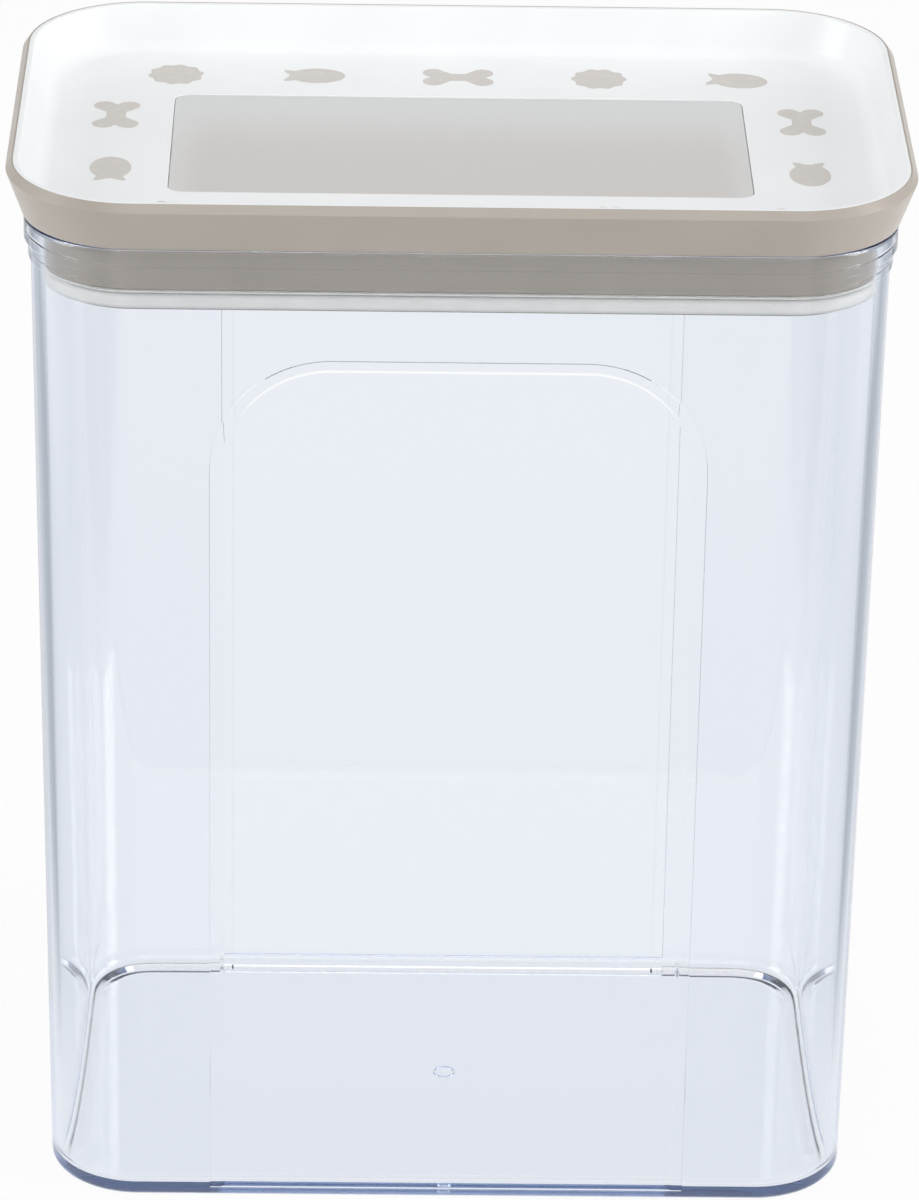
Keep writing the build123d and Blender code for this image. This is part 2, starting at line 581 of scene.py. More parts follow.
@dataclass(frozen=True)
class Section:
    """A moulded section: corners joined by straight walls, each corner rounded to its own radius."""

    corners: Sequence[Corner]
    closed: bool

    def stations(self) -> list[tuple[Outline, float]]:
        """Work out the outlines that the section passes, with each round corner as an arc.

        Returns:
            The outlines in order, each with its height.
        """
        found = []
        for index, corner in enumerate(self.corners):
            end = not self.closed and index in (0, len(self.corners) - 1)
            if corner.round == 0 or end:
                found.append((corner.shape.grown(corner.out), corner.z))
                continue
            after = self.corners[(index + 1) % len(self.corners)]
            for point in self.arc(self.corners[index - 1].point(), corner, after.point()):
                found.append((corner.shape.grown(point.x - corner.shape.width / 2), point.y))
        return found

    def arc(self, before: Vector, corner: Corner, after: Vector) -> Iterable[Vector]:
        """Round one corner.

        Args:
            before: The corner before it.
            corner: The corner to round.
            after: The corner after it.

        Yields:
            Points of the arc, in the plane of the section.
        """
        apex = corner.point()
        back = (before - apex).normalized()
        ahead = (after - apex).normalized()
        half = back.angle(ahead) / 2
        centre = apex + (back + ahead).normalized() * (corner.round / math.sin(half))
        start = apex + back * (corner.round / math.tan(half)) - centre
        end = apex + ahead * (corner.round / math.tan(half)) - centre
        sweep = math.pi - 2 * half
        for step in range(ROUND_STEPS + 1):
            part = step / ROUND_STEPS
            blend = start * math.sin((1 - part) * sweep) + end * math.sin(part * sweep)
            yield centre + blend / math.sin(sweep)


class RingMesh:
    """A mesh that grows ring by ring from one outline to the next."""

    def __init__(self, outline: Shape, z: float, steps: int = CORNER_STEPS) -> None:
        """Lay the first ring.

        Args:
            outline: The ring's outline.
            z: Its height.
            steps: Steps round each corner.
        """
        self.bm = bmesh.new()
        outline.draw(self.bm, steps)
        self.outline = outline
        self.ring = self.bm.edges[:]
        self.first = self.bm.edges[:]
        self.move(self.bm.verts, outline, z)

    def move(self, verts: Iterable[bmesh.types.BMVert], outline: Shape, z: float) -> None:
        """Move a ring from the outline it lies on to another one.

        Args:
            verts: The ring's points.
            outline: The outline to lie on.
            z: The height to lie at.
        """
        for vert in verts:
            vert.co = (*outline.follow(vert.co, self.outline), z)
        self.outline = outline

    def grow(self, outline: Shape, z: float) -> None:
        """Extrude the open ring and move it on.

        Args:
            outline: The new ring's outline.
            z: Its height.
        """
        made = bmesh.ops.extrude_edge_only(self.bm, edges=self.ring)["geom"]
        verts = {item for item in made if isinstance(item, bmesh.types.BMVert)}
        edges = (item for item in made if isinstance(item, bmesh.types.BMEdge))
        self.ring = [edge for edge in edges if set(edge.verts) <= verts]
        self.move(verts, outline, z)

    def close(self, joined: bool) -> bmesh.types.BMesh:
        """Close the mesh and turn its faces outwards.

        Args:
            joined: Whether the last ring joins the first. Otherwise each gets a flat cap.

        Returns:
            The closed mesh.
        """
        if joined:
            bmesh.ops.bridge_loops(self.bm, edges=self.first + self.ring)
        else:
            for ring in (self.first, self.ring):
                bmesh.ops.edgeloop_fill(self.bm, edges=ring)
        bmesh.ops.recalc_face_normals(self.bm, faces=self.bm.faces[:])
        return self.bm


def swept(section: Section, steps: int = CORNER_STEPS) -> bmesh.types.BMesh:
    """Run a section round its outlines.

    Args:
        section: The section to follow.
        steps: Steps round each corner.

    Returns:
        The closed mesh.
    """
    stations = section.stations()
    mesh = RingMesh(*stations[0], steps)
    for outline, z in stations[1:]:
        mesh.grow(outline, z)
    return mesh.close(section.closed)


def make_object(name: str, bm: bmesh.types.BMesh) -> bpy.types.Object:
    """Turn a finished bmesh into an object in the scene.

    Args:
        name: The object's name.
        bm: Its mesh, which is freed.

    Returns:
        The object.
    """
    mesh = bpy.data.meshes.new(name)
    bm.to_mesh(mesh)
    bm.free()
    piece = bpy.data.objects.new(name, mesh)
    bpy.context.scene.collection.objects.link(piece)
    return piece


def cut(piece: bpy.types.Object, cutters: Sequence[bpy.types.Object]) -> None:
    """Take other objects' solids out of a piece, and remove those objects.

    Args:
        piece: The object to cut.
        cutters: The solids to take out.
    """
    for cutter in cutters:
        modifier = piece.modifiers.new("cut", "BOOLEAN")
        modifier.operation = "DIFFERENCE"
        modifier.solver = "EXACT"
        modifier.object = cutter
    ready = piece.evaluated_get(bpy.context.evaluated_depsgraph_get())
    mesh = bpy.data.meshes.new_from_object(ready)
    old = piece.data
    piece.modifiers.clear()
    piece.data = mesh
    bpy.data.meshes.remove(old)
    for cutter in cutters:
        bpy.data.objects.remove(cutter)


def dress(
    piece: bpy.types.Object,
    finish: Finish,
    body: str,
    node: str = "",
) -> bpy.types.Object:
    """Shade a piece smooth except over its sharp edges, give it its finish and let it ride on its body.

    Args:
        piece: The object.
        finish: The finish, which makes its material.
        body: The CAD body that it moves with.
        node: The CAD node that it stands for, if it does.

    Returns:
        The same object, dressed.
    """
    bm = bmesh.new()
    bm.from_mesh(piece.data)
    for face in bm.faces:
        face.smooth = True
    for edge in bm.edges:
        edge.smooth = edge.calc_face_angle(0.0) < SHARP_ANGLE
    bm.to_mesh(piece.data)
    bm.free()
    normals = piece.modifiers.new("even_normals", "WEIGHTED_NORMAL")
    normals.keep_sharp = True
    piece.data.materials.clear()
    piece.data.materials.append(finish.material())
    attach(piece, body)
    if node:
        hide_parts(node)
    return piece


@dataclass(frozen=True)
class JarSizes:
    """Sizes that the pieces share, read from the CAD nodes' boxes where those give them."""

    mouth: Outline
    window: Outline
    jar_top: float
    lid_top: float
    plate_z: float
    panel_z: float
    panel_top: float
    seal_foot: float
    seal_top: float
    flare_edge: float
    draft: float = 2.25 * MM
    wall: float = 2.6 * MM
    lead_in: float = 1.0 * MM
    upper_band: float = 1.4 * MM
    flare_foot: float = 1.7 * MM
    flare_height: float = 10.2 * MM
    shadow_gap: float = 0.4 * MM
    bevel: float = 1.3 * MM
    rim_land: float = 0.3 * MM
    plate: float = 1.2 * MM
    heel: float = 2.0 * MM
    heel_round: float = 0.3 * MM
    rim_round: float = 0.12 * MM
    panel_flange: float = 2.0 * MM
    mouth_round: float = 23 * MM
    window_round: float = 3.5 * MM

    @classmethod
    def from_frame(cls) -> "JarSizes":
        """Read the nodes' boxes.

        Returns:
            The sizes.
        """
        jar_low, jar_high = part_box("container")
        base_low, base_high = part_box("lid_base")
        plate_low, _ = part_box("lid_plate")
        panel_low, panel_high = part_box("window_panel")
        seal_low, seal_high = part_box("lid_seal")
        jar, panel = jar_high - jar_low, panel_high - panel_low
        mouth = Outline(jar.x, jar.y, cls.mouth_round + cls.upper_band).grown(-cls.upper_band)
        window = Outline(panel.x, panel.y, cls.window_round + cls.panel_flange).grown(-cls.panel_flange)
        return cls(
            mouth=mouth,
            window=window,
            jar_top=jar_high.z,
            lid_top=base_high.z,
            plate_z=plate_low.z,
            panel_z=panel_low.z,
            panel_top=panel_high.z,
            seal_foot=seal_low.z,
            seal_top=seal_high.z,
            flare_edge=(base_high.x - base_low.x - mouth.width) / 2,
        )

    def wall_at(self, z: float) -> Outline:
        """Return the container's outer outline at a height, as its walls lean."""
        return self.mouth.grown(-self.draft * (1 - z / self.jar_top))

    @property
    def dish_z(self) -> float:
        """Return the height of the dish's floor."""
        return self.plate_z + self.plate

    @property
    def edge_z(self) -> float:
        """Return the height of the flare's outer edge."""
        return self.jar_top + self.flare_height

    @property
    def slope(self) -> float:
        """Return how far the flare and the dish's wall lean out for each metre up."""
        return (self.flare_edge - self.flare_foot) / (self.flare_height - self.shadow_gap)

    @property
    def rim(self) -> float:
        """Return how far out of the mouth's outline the plate's rim meets the base."""
        return self.flare_edge - self.bevel - self.rim_land

    def pocket(self) -> list[Corner]:
        """Work out the skin that plate and base share.

        Returns:
            Its corners, from its flat foot up to the rim.
        """
        foot = self.rim - self.slope * (self.lid_top - self.plate_z)
        rise = self.heel / math.hypot(1, self.slope)
        return [
            Corner(self.mouth, foot - self.heel, self.plate_z, self.heel_round),
            Corner(self.mouth, foot + rise * self.slope, self.plate_z + rise, self.heel_round),
            Corner(self.mouth, self.rim, self.lid_top, self.rim_round),
        ]


@dataclass
class Container:
    """The clear body: walls that lean outwards, bands round the mouth, pressed arches and a round floor."""

    sizes: JarSizes
    floor: float = 2.5 * MM
    floor_round: float = 2.2 * MM
    foot_round: float = 2.4 * MM
    foot_ring: float = 3.0 * MM
    foot_recess: float = 0.85 * MM
    foot_slope: float = 5.4 * MM
    slope_round: float = 6 * MM
    recess_flat: float = 5 * MM
    floor_flat: float = 12 * MM
    lower_band: float = 0.5 * MM
    lower_band_drop: float = 9.8 * MM
    upper_band_drop: float = 5.8 * MM
    band_round: float = 0.2 * MM
    ledge_round: float = 0.3 * MM
    collar_round: float = 0.5 * MM
    rim_round: float = 1.0 * MM
    lead_in_round: float = 0.6 * MM
    arch: ArchOutline = ArchOutline(110 * MM, 2.4 * MM, 213.5 * MM, 27 * MM)
    arch_band: float = 2.75 * MM
    arch_relief: float = 1.15 * MM
    arch_ledge: float = 0.25 * MM
    arch_slope: float = 1.0 * MM
    arch_steps: int = 8
    arch_edge: float = 0.05 * MM
    gate: float = 4.8 * MM
    gate_half: float = 0.3 * MM
    gate_depth: float = 0.35 * MM
    gate_steps: int = 8

    def section(self) -> Section:
        """Work out the section of foot, wall and floor.

        Returns:
            The open section, from the middle of the underside to that of the floor.
        """
        sizes = self.sizes
        mouth, top, wall = sizes.mouth, sizes.jar_top, sizes.wall
        foot, inside = sizes.wall_at(0), sizes.wall_at(self.floor)
        low, high = top - self.lower_band_drop, top - self.upper_band_drop
        ring, recess = -self.foot_ring, self.foot_recess
        corners = [
            Corner(foot, ring - self.foot_slope - self.recess_flat, recess),
            Corner(foot, ring - self.foot_slope, recess, self.slope_round),
            Corner(foot, ring, 0, self.slope_round),
            Corner(foot, 0, 0, self.foot_round),
            Corner(sizes.wall_at(low), 0, low, self.band_round),
            Corner(mouth, self.lower_band, low, self.band_round),
            Corner(mouth, self.lower_band, high, self.ledge_round),
            Corner(mouth, sizes.upper_band, high, self.collar_round),
            Corner(mouth, sizes.upper_band, top, self.rim_round),
            Corner(mouth, sizes.lead_in - wall, top, self.ledge_round),
            Corner(mouth, -wall, top - sizes.lead_in, self.lead_in_round),
            Corner(inside, -wall, self.floor, self.floor_round),
            Corner(inside, -wall - self.floor_flat, self.floor),
        ]
        return Section(corners, closed=False)

    def build(self, finish: ClearPlastic) -> bpy.types.Object:
        """Model the container and dress it.

        Args:
            finish: The clear plastic.

        Returns:
            The container.
        """
        piece = make_object("container_body", swept(self.section()))
        cut(piece, [self.arch_cutter(-1), self.arch_cutter(1), self.gate_cutter()])
        return dress(piece, finish, "jar", "container")

    def arch_profile(self) -> list[Span]:
        """Work out the arch's edge: a soft slope, a ledge and a step with its edges taken off.

        Returns:
            Spreads of the arch's outline, each with its rise above the sunk panel.
        """
        found = []
        for step in range(self.arch_steps + 1):
            part = step / self.arch_steps
            soft = part * part * (3 - 2 * part)
            found.append((self.arch_slope * (part - 0.5) - self.arch_band, self.arch_ledge * soft))
        edge, little = self.arch_edge, 0.2 * self.arch_edge
        found.append((-edge, self.arch_ledge + little))
        found.append((-little, self.arch_ledge + edge))
        found.append((0.0, self.arch_relief - edge))
        found.append((edge, self.arch_relief + little))
        found.append((0.5 * self.arch_band, 2 * self.arch_relief))
        return found

    def arch_cutter(self, side: int) -> bpy.types.Object:
        """Model the solid that presses the arch into one wall.

        Args:
            side: -1 for the front wall, 1 for the back.

        Returns:
            The solid, in place.
        """
        (spread, rise), *others = self.arch_profile()
        mesh = RingMesh(self.arch.grown(spread), rise)
        for spread, rise in others:
            mesh.grow(self.arch.grown(spread), rise)
        bm = mesh.close(joined=False)
        lean = math.atan2(self.sizes.draft, self.sizes.jar_top)
        out = Vector((0, side * math.cos(lean), -math.sin(lean)))
        across = Vector((-side, 0, 0))
        turn = Matrix((across, out.cross(across), out)).transposed().to_4x4()
        wall = Vector((0, side * self.sizes.wall_at(0).depth / 2, 0)) - out * self.arch_relief
        bmesh.ops.transform(bm, matrix=Matrix.Translation(wall) @ turn, verts=bm.verts[:])
        return make_object("arch_cutter", bm)

    def gate_cutter(self) -> bpy.types.Object:
        """Model the shallow ring that the gate leaves in the underside.

        Returns:
            The ring, as a solid to cut.
        """
        circle = Outline(self.gate, self.gate, self.gate / 2 - CLOSE)
        half = self.gate_half
        low, high = self.foot_recess - self.gate_depth, self.foot_recess + self.gate_depth
        places = [(-half, low), (-half / 2, high), (half / 2, high), (half, low)]
        corners = [Corner(circle, out, z) for out, z in places]
        return make_object("gate_cutter", swept(Section(corners, closed=True), self.gate_steps))


@dataclass
class LidBase:
    """The lid's base: flared rim, pocket for the plate, rebate for the panel, plug skirt and seal groove."""

    sizes: JarSizes
    landing: float = 0.6 * MM
    floor: float = 2.4 * MM
    skirt_gap: float = 0.8 * MM
    skirt_wall: float = 2.0 * MM
    lead_in_gap: float = 0.3 * MM
    groove_depth: float = 3.1 * MM
    groove_wall: float = 2.0 * MM
    groove_roof: float = 1.8 * MM
    keeper: float = 0.8 * MM
    keeper_reach: float = 1.3 * MM
    rebate_gap: float = 0.2 * MM
    shelf_gap: float = 0.1 * MM
    soft: float = 0.25 * MM
    flare_edge_round: float = 0.3 * MM
    flare_foot_round: float = 0.35 * MM
    landing_round: float = 0.1 * MM
    collar_round: float = 0.2 * MM
    collar_foot_round: float = 0.4 * MM
    plug_round: float = 0.5 * MM
    skirt_round: float = 1.0 * MM

    def section(self) -> Section:
        """Work out the base's section.

        Returns:
            The closed section, from the rebate over the rim, down the skirt and back under the floor.
        """
        sizes, soft = self.sizes, self.soft
        mouth, window = sizes.mouth, sizes.window
        rebate = sizes.panel_flange + self.rebate_gap
        skirt = -sizes.wall - self.skirt_gap
        root = skirt - self.groove_depth
        keeper_edge = root + self.keeper_reach
        collar = sizes.lead_in + self.skirt_gap - self.lead_in_gap
        plug_foot = sizes.seal_foot - self.keeper
        base_z = sizes.plate_z - self.floor
        roof = sizes.seal_top + self.groove_roof
        flare_z = sizes.jar_top + sizes.shadow_gap
        corners = [
            Corner(window, -self.shelf_gap, base_z),
            Corner(window, -self.shelf_gap, sizes.panel_z),
            Corner(window, rebate, sizes.panel_z),
            Corner(window, rebate, sizes.plate_z),
            *sizes.pocket(),
            Corner(mouth, sizes.rim + sizes.rim_land, sizes.lid_top, sizes.rim_round),
            Corner(mouth, sizes.flare_edge, sizes.edge_z, self.flare_edge_round),
            Corner(mouth, sizes.flare_foot, flare_z, self.flare_foot_round),
            Corner(mouth, self.landing, flare_z, self.landing_round),
            Corner(mouth, self.landing, sizes.jar_top, self.landing_round),
            Corner(mouth, skirt + collar, sizes.jar_top, self.collar_round),
            Corner(mouth, skirt, sizes.jar_top - collar, self.collar_foot_round),
            Corner(mouth, skirt, sizes.seal_top, self.plug_round),
            Corner(mouth, root, sizes.seal_top, soft),
            Corner(mouth, root, sizes.seal_foot, soft),
            Corner(mouth, keeper_edge, sizes.seal_foot, soft),
            Corner(mouth, keeper_edge, plug_foot, soft),
            Corner(mouth, root - self.groove_wall, plug_foot, soft),
            Corner(mouth, root - self.groove_wall, roof, soft),
            Corner(mouth, skirt - self.skirt_wall, roof, soft),
            Corner(mouth, skirt - self.skirt_wall, base_z, self.skirt_round),
        ]
        return Section(corners, closed=True)

    def build(self, finish: MouldedPlastic) -> bpy.types.Object:
        """Model the base and dress it in its plastic."""
        piece = make_object("flared_lid_base", swept(self.section()))
        return dress(piece, finish, "lid", "lid_base")


@dataclass
class LidPlate:
    """The white plate: a dish with a wall parallel to the flare, round its foot, and open at the window."""

    sizes: JarSizes
    foot_round: float = 4.0 * MM
    rim_round: float = 0.5 * MM
    lip: float = 0.25 * MM

    def section(self) -> Section:
        """Work out the plate's section.

        Returns:
            The closed section, from the window over the dish to the rim and back underneath.
        """
        sizes = self.sizes
        rim = sizes.rim - sizes.plate
        foot = rim - sizes.slope * (sizes.lid_top - sizes.dish_z)
        corners = [
            Corner(sizes.window, 0, sizes.plate_z),
            Corner(sizes.window, 0, sizes.dish_z, self.lip),
            Corner(sizes.mouth, foot, sizes.dish_z, self.foot_round),
            Corner(sizes.mouth, rim, sizes.lid_top, self.rim_round),
            *reversed(sizes.pocket()),
        ]
        return Section(corners, closed=True)

    def build(self, finish: MouldedPlastic) -> bpy.types.Object:
        """Model the plate and dress it in its plastic."""
        piece = make_object("dished_lid_plate", swept(self.section()))
        return dress(piece, finish, "lid", "lid_plate")


@dataclass
class WindowPanel:
    """The frosted panel, with the flange that the plate holds down."""

    sizes: JarSizes
    thickness: float = 1.2 * MM
    gap: float = 0.1 * MM
    flat: float = 3 * MM
    flange_round: float = 0.15 * MM
    face_round: float = 0.3 * MM
    steps: int = 12

    def section(self) -> Section:
        """Work out the panel's section.

        Returns:
            The open section, from the middle of its underside to that of its face.
        """
        sizes = self.sizes
        window, flange = sizes.window, sizes.panel_flange
        shoulder = sizes.panel_z + self.thickness
        corners = [
            Corner(window, -self.flat, sizes.panel_z),
            Corner(window, flange, sizes.panel_z, self.flange_round),
            Corner(window, flange, shoulder, self.flange_round),
            Corner(window, -self.gap, shoulder),
            Corner(window, -self.gap, sizes.panel_top, self.face_round),
            Corner(window, -self.flat, sizes.panel_top),
        ]
        return Section(corners, closed=False)

    def build(self) -> bpy.types.Object:
        """Model the panel and dress it.

        Returns:
            The panel.
        """
        window = self.sizes.window
        # The panel's colours carry painted light: paler at the back and lighter at the ends.
        finish = FrostedPanel(
            name="frosted_panel",
            colour=srgb(232, 234, 234),
            warm=srgb(221, 217, 214),
            edge=srgb(235, 236, 236),
            half_width=window.width / 2,
            half_depth=window.depth / 2,
        )
        piece = make_object("frosted_window_panel", swept(self.section(), self.steps))
        return dress(piece, finish, "lid", "window_panel")


@dataclass
class LidSeal:
    """The silicone seal: a core in the groove, a thin upper fin and a fuller bead below it."""

    sizes: JarSizes
    reach: float = 0.25 * MM
    fin: float = 0.7 * MM
    fin_shorter: float = 0.15 * MM
    gap: float = 0.5 * MM
    root_round: float = 0.15 * MM
    fin_round: float = 0.3 * MM
    core_round: float = 0.2 * MM
    bead_round: float = 1.3 * MM

    def section(self, root: float, keeper_edge: float) -> Section:
        """Return the seal's section.

        Args:
            root: Where the groove ends, out of the mouth's outline.
            keeper_edge: Where the keeper ends.

        Returns:
            The closed section.
        """
        sizes = self.sizes
        mouth, top, foot = sizes.mouth, sizes.seal_top, sizes.seal_foot
        lean = sizes.draft * (sizes.jar_top - foot) / sizes.jar_top
        edge = -sizes.wall - lean - self.reach
        fin_edge, fin_foot = edge - self.fin_shorter, top - self.fin
        bead_top = fin_foot - self.gap
        corners = [
            Corner(mouth, root, foot, self.root_round),
            Corner(mouth, root, top, self.root_round),
            Corner(mouth, fin_edge, top, self.fin_round),
            Corner(mouth, fin_edge, fin_foot, self.fin_round),
            Corner(mouth, keeper_edge, fin_foot, self.core_round),
            Corner(mouth, keeper_edge, bead_top, self.core_round),
            Corner(mouth, edge, bead_top, self.bead_round),
            Corner(mouth, edge, foot, self.bead_round),
        ]
        return Section(corners, closed=True)

    def build(self, base: LidBase, finish: Silicone) -> bpy.types.Object:
        """Model the seal and dress it.

        Args:
            base: The lid base, whose groove holds the seal.
            finish: The silicone.

        Returns:
            The seal.
        """
        root = -self.sizes.wall - base.skirt_gap - base.groove_depth
        piece = make_object("silicone_seal", swept(self.section(root, root + base.keeper_reach)))
        return dress(piece, finish, "lid", "lid_seal")


class Motif(Enum):
    """The shapes of the printed border, which take turns in the row."""

    BONE = "bone"
    FISH = "fish"
    BISCUIT = "biscuit"

    def reach(self, angle: float) -> float:
        """Return how far the shape reaches from its middle.

        Args:
            angle: The direction, in radians.

        Returns:
            The distance, for a shape that is about 2 long.
        """
        x, y = math.cos(angle), math.sin(angle)
        if self is Motif.BISCUIT:
            middle, wave, lobes = 0.74, 0.04, 10
            return middle + wave * math.cos(lobes * angle)
        if self is Motif.FISH:
            half_length, half_height = 0.78, 0.56
            tail_half, notch_half, notch = 0.5, 0.4, 0.3
            body = 1 / math.hypot(x / half_length, y / half_height)
            if x >= 0 or abs(y / x) >= tail_half:
                return body
            return max(body, 1 - notch * max(0.0, 1 - abs(y / x) / notch_half))
        half_length, half_height = 0.75, 0.27
        knob, knob_radius = Vector((0.68, 0.33)), 0.31
        shaft = min(half_length / max(abs(x), TINY), half_height / max(abs(y), TINY))
        along = knob.x * abs(x) + knob.y * abs(y)
        spare = along * along - knob.length_squared + knob_radius ** 2
        return max(shaft, along + math.sqrt(spare)) if spare > 0 else shaft


@dataclass
class PrintedBorder:
    """A row of plain motifs printed round the window, as thin as ink."""

    sizes: JarSizes
    path: Outline = Outline(156 * MM, 85 * MM, 15 * MM)
    count: int = 14
    length: float = 16.5 * MM
    ink: float = 0.05 * MM
    points: int = 96

    def along(self, distance: float) -> tuple[Vector, float]:
        """Find a place on the path.

        Args:
            distance: How far round the path it is, to the left from the middle of the right side.

        Returns:
            The place, and the direction that faces out of the path there.
        """
        radius, core = self.path.radius, self.path.core()
        bend = radius * math.pi / 2
        walk = distance + core.y
        for quarter in range(QUARTERS + 1):
            straight = 2 * (core.y if quarter % 2 == 0 else core.x)
            facing = quarter * math.pi / 2
            out = Vector((math.cos(facing), math.sin(facing)))
            ahead = Vector((-out.y, out.x))
            middle = out * (core.x if quarter % 2 == 0 else core.y)
            if walk <= straight:
                break
            walk -= straight
            if walk <= bend:
                turn = facing + walk / radius
                centre = middle + ahead * straight / 2
                return centre + radius * Vector((math.cos(turn), math.sin(turn))), turn
            walk -= bend
        return middle + out * radius + ahead * (walk - straight / 2), facing

    def stamp(self, bm: bmesh.types.BMesh, motif: Motif, place: Vector, facing: float) -> None:
        """Lay one motif on the dish's floor.

        Args:
            bm: The border's mesh.
            motif: Which motif it is.
            place: Where its middle is.
            facing: The direction that its upper side faces.
        """
        verts = bmesh.ops.create_circle(bm, cap_ends=True, segments=self.points, radius=1)["verts"]
        for vert in verts:
            vert.co.xy *= motif.reach(math.atan2(vert.co.y, vert.co.x)) * self.length / 2
        face = verts[0].link_faces[0]
        top = bmesh.ops.extrude_face_region(bm, geom=[face, *face.edges])["geom"]
        raised = [item for item in top if isinstance(item, bmesh.types.BMVert)]
        bmesh.ops.translate(bm, vec=(0, 0, self.ink), verts=raised)
        turn = Matrix.Rotation(facing - math.pi / 2, 4, "Z")
        move = Matrix.Translation((*place, self.sizes.dish_z))
        bmesh.ops.transform(bm, matrix=move @ turn, verts=verts + raised)

    def build(self, finish: PrintInk) -> bpy.types.Object:
        """Print the border and dress it.

        Args:
            finish: The ink.

        Returns:
            The border, as one piece.
        """
        bm = bmesh.new()
        core = self.path.core()
        around = 4 * (core.x + core.y) + 2 * math.pi * self.path.radius
        motifs = list(Motif)
        for index in range(self.count):
            place, facing = self.along((index + 0.5) * around / self.count)
            self.stamp(bm, motifs[index % len(motifs)], place, facing)
        bmesh.ops.recalc_face_normals(bm, faces=bm.faces[:])
        return dress(make_object("printed_border", bm), finish, "lid")


@dataclass(frozen=True)
class Softbox:
    """A soft rectangular lamp that faces the jar."""

    name: str
    place: tuple[float, float, float]
    size: tuple[float, float]
    watts: float
    aim: tuple[float, float, float] = (0.0, 0.0, 0.12)

    def hang(self) -> None:
        """Put the lamp in the scene."""
        lamp = bpy.data.lights.new(self.name, "AREA")
        lamp.shape = "RECTANGLE"
        lamp.size, lamp.size_y = self.size
        lamp.energy = self.watts
        holder = bpy.data.objects.new(self.name, lamp)
        holder.location = self.place
        towards = Vector(self.aim) - Vector(self.place)
        holder.rotation_euler = towards.to_track_quat("-Z", "Y").to_euler()
        bpy.context.scene.collection.objects.link(holder)


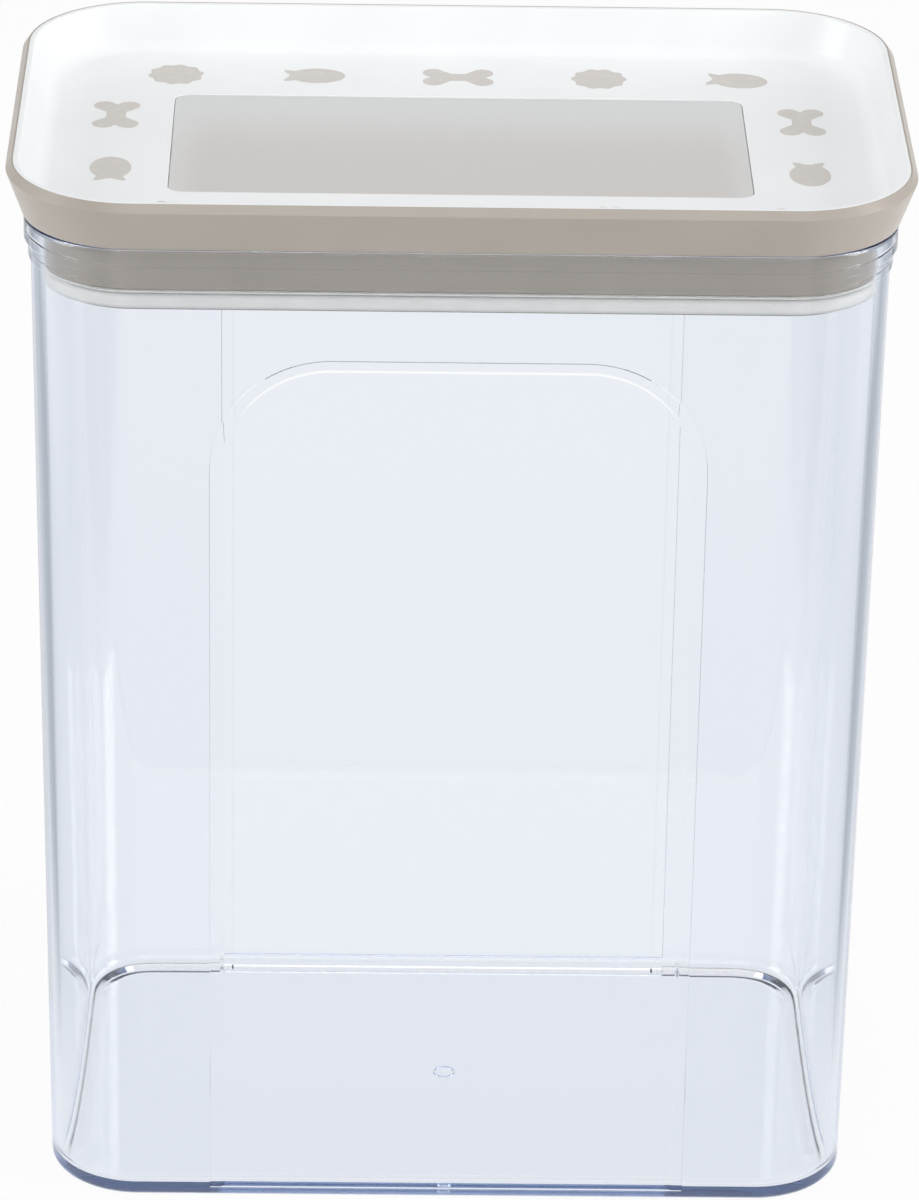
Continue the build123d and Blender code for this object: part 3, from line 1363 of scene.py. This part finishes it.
@dataclass
class Studio:
    """A bright floor without end, plain soft lamps, and painted shade on the floor that shows only through
    clear walls.
    """

    floor_size: float = 3.0
    floor_z: float = -0.1 * MM
    floor_white: float = 0.92
    floor_colour: Colour = (0.85, 0.85, 0.85)
    bounces: int = 96
    fill: float = 0.72
    bright: Colour = (1.0, 1.0, 1.0)
    ahead: Colour = (1.45, 1.43, 1.4)
    # Painted shade, emitted only for rays through clear walls: pale near the jar, grey beside it.
    painted_near_shade: Colour = (0.825, 0.855, 0.91)
    painted_side_shade: Colour = (0.38, 0.43, 0.49)
    behind: Colour = (0.4, 0.47, 0.6)
    near_middle: float = 0.2
    near_edge: Span = (0.32, 0.5)
    side_edge: Span = (0.11, 0.19)
    side_narrowing: float = 0.3
    side_end: Span = (0.55, 0.4)
    side_reach: Span = (1.0, 0.7)
    back_edge: Span = (-0.3, 0.25)
    band_foot: Span = (0.41, 0.47)
    band_top: Span = (0.72, 0.6)
    softboxes: tuple[Softbox, ...] = (
        Softbox("overhead_softbox", (0.0, 0.1, 1.5), (1.1, 0.9), 2.4),
        Softbox("left_softbox", (-1.3, -0.35, 0.55), (0.5, 0.9), 6.5),
        Softbox("right_softbox", (1.3, -0.35, 0.55), (0.5, 0.9), 9.5),
        Softbox("high_front_softbox", (0.0, -1.2, 1.45), (1.2, 0.35), 3.5),
        Softbox("low_front_softbox", (0.0, -1.6, 0.75), (1.4, 0.5), 2.0),
    )

    def seen(self, graph: Graph) -> tuple[Wire, Wire, Wire]:
        """Return what marks camera rays, mirrored rays and rays that a clear surface lets through."""
        path = graph.node("ShaderNodeLightPath")
        return tuple(graph.wire(path, f"Is {kind} Ray") for kind in ("Camera", "Glossy", "Transmission"))

    def build_floor(self) -> None:
        """Lay the floor: white with the jar's shadow, and through clear walls painted shade, pale near the
        jar, with grey sides.
        """
        bm = bmesh.new()
        bmesh.ops.create_grid(bm, x_segments=1, y_segments=1, size=self.floor_size)
        bmesh.ops.translate(bm, vec=(0, 0, self.floor_z), verts=bm.verts[:])
        floor = make_object("floor", bm)
        material, graph = new_material("floor_white")
        camera, mirrored, through = self.seen(graph)
        x, along, _ = graph.axes(graph.place())
        across, length = abs(x), abs(along)
        # Painted shade: a grey patch on each side of the jar, seen only through clear walls.
        painted_side_mask = graph.ramp(across - length * self.side_narrowing, *self.side_edge)
        painted_side_mask = painted_side_mask * graph.ramp(across, *self.side_end) * graph.ramp(length, *self.side_reach)
        far = graph.ramp(abs(along - self.near_middle), *self.near_edge)
        matt = graph.node("ShaderNodeBsdfDiffuse", inputs={"Color": (*self.floor_colour, 1.0)})
        # The pale and grey emissions are painted shade; the bright one is the evenly white floor.
        bright, pale, grey = [
            graph.node("ShaderNodeEmission", inputs={"Color": (*colour, 1.0), "Strength": 1.0})
            for colour in (self.bright, self.painted_near_shade, self.painted_side_shade)
        ]
        plain = graph.blend(camera.either(mirrored) * self.floor_white, matt, bright)
        clear = graph.blend(painted_side_mask, graph.blend(far, pale, bright), grey)
        graph.node("ShaderNodeOutputMaterial", inputs={"Surface": graph.blend(through, plain, clear)})
        floor.data.materials.append(material)

    def build_world(self) -> None:
        """Set the surroundings: white, and through clear walls brighter in front and bluer behind."""
        world = bpy.data.worlds.new("studio")
        world.use_nodes = True
        bpy.context.scene.world = world
        graph = Graph(world.node_tree)
        camera, _, through = self.seen(graph)
        _, along, height = graph.axes(graph.wire(graph.node("ShaderNodeTexCoord"), "Generated"))
        back = graph.ramp(along, *self.back_edge)
        band = graph.ramp(height, *self.band_foot) * graph.ramp(height, *self.band_top)
        around = graph.mix(band * back, graph.mix(back, self.ahead, self.bright), self.behind)
        white = graph.node("ShaderNodeBackground", inputs={"Color": (*self.bright, 1.0)})
        clear = graph.node("ShaderNodeBackground", inputs={"Color": around})
        fill = graph.node("ShaderNodeBackground", inputs={"Strength": self.fill})
        whole = graph.blend(camera, graph.blend(through, fill, clear), white)
        graph.node("ShaderNodeOutputWorld", inputs={"Surface": whole})

    def build(self) -> None:
        """Build the studio and set how its picture is shown."""
        self.build_floor()
        self.build_world()
        for softbox in self.softboxes:
            softbox.hang()
        paths = bpy.context.scene.cycles
        paths.max_bounces = paths.glossy_bounces = paths.transmission_bounces = self.bounces
        bpy.context.scene.view_settings.view_transform = "Standard"


@dataclass(frozen=True)
class PhotoCamera:
    """The photograph's camera: its place, its aim and its lens, as fitted to the photograph."""

    place: tuple[float, float, float] = (-0.022013, -1.318954, 0.758682)
    yaw: float = 0.018
    pitch: float = 0.446
    roll: float = 0.018
    sensor: float = 36.0
    frame_height: float = 1200.0
    focal_pixels: float = 6273.62
    nearest: float = 0.05
    farthest: float = 50.0

    def build(self) -> None:
        """Put the camera in the scene."""
        data = bpy.data.cameras.new("photo_camera")
        data.sensor_width = self.sensor
        data.lens = self.focal_pixels / self.frame_height * self.sensor
        data.clip_start, data.clip_end = self.nearest, self.farthest
        sin_yaw, cos_yaw, cos_pitch = math.sin(self.yaw), math.cos(self.yaw), math.cos(self.pitch)
        ahead = Vector((sin_yaw * cos_pitch, cos_yaw * cos_pitch, -math.sin(self.pitch)))
        level = Vector((cos_yaw, -sin_yaw, 0))
        upright = level.cross(ahead)
        right = level * math.cos(self.roll) + upright * math.sin(self.roll)
        up = upright * math.cos(self.roll) - level * math.sin(self.roll)
        turn = Matrix((right, up, -ahead)).transposed().to_4x4()
        camera = bpy.data.objects.new("photo_camera", data)
        camera.matrix_world = Matrix.Translation(self.place) @ turn
        bpy.context.scene.collection.objects.link(camera)
        bpy.context.scene.camera = camera


def report(piece: bpy.types.Object) -> None:
    """Log a finished piece and its size."""
    size = ", ".join(f"{side / MM:.1f}" for side in piece.dimensions)
    LOG.info("%s: %d faces, %s mm", piece.name, len(piece.data.polygons), size)


def main() -> None:
    """Build the jar piece by piece, then the studio round it."""
    logging.basicConfig(level=logging.INFO, format="%(name)s: %(message)s")
    sizes = JarSizes.from_frame()
    clear = ClearPlastic(
        name="clear_plastic",
        tint=(1.0, 1.0, 1.0),
        depth_tint=(0.08, 0.25, 0.56),
        depth_density=13.0,
    )
    taupe = MouldedPlastic("taupe_plastic", srgb(172, 164, 155), srgb(168, 160, 151), roughness=0.32)
    white = MouldedPlastic("white_plastic", srgb(243, 245, 246), srgb(240, 242, 243), roughness=0.34)
    silicone = Silicone("silicone", srgb(247, 248, 247), srgb(243, 245, 244))
    ink = PrintInk("print_ink", srgb(206, 201, 196), srgb(212, 208, 204))
    base = LidBase(sizes)
    report(Container(sizes).build(clear))
    report(base.build(taupe))
    report(LidPlate(sizes).build(white))
    report(WindowPanel(sizes).build())
    report(LidSeal(sizes).build(base, silicone))
    report(PrintedBorder(sizes).build(ink))
    Studio().build()
    PhotoCamera().build()


if __name__ == "__main__":
    main()
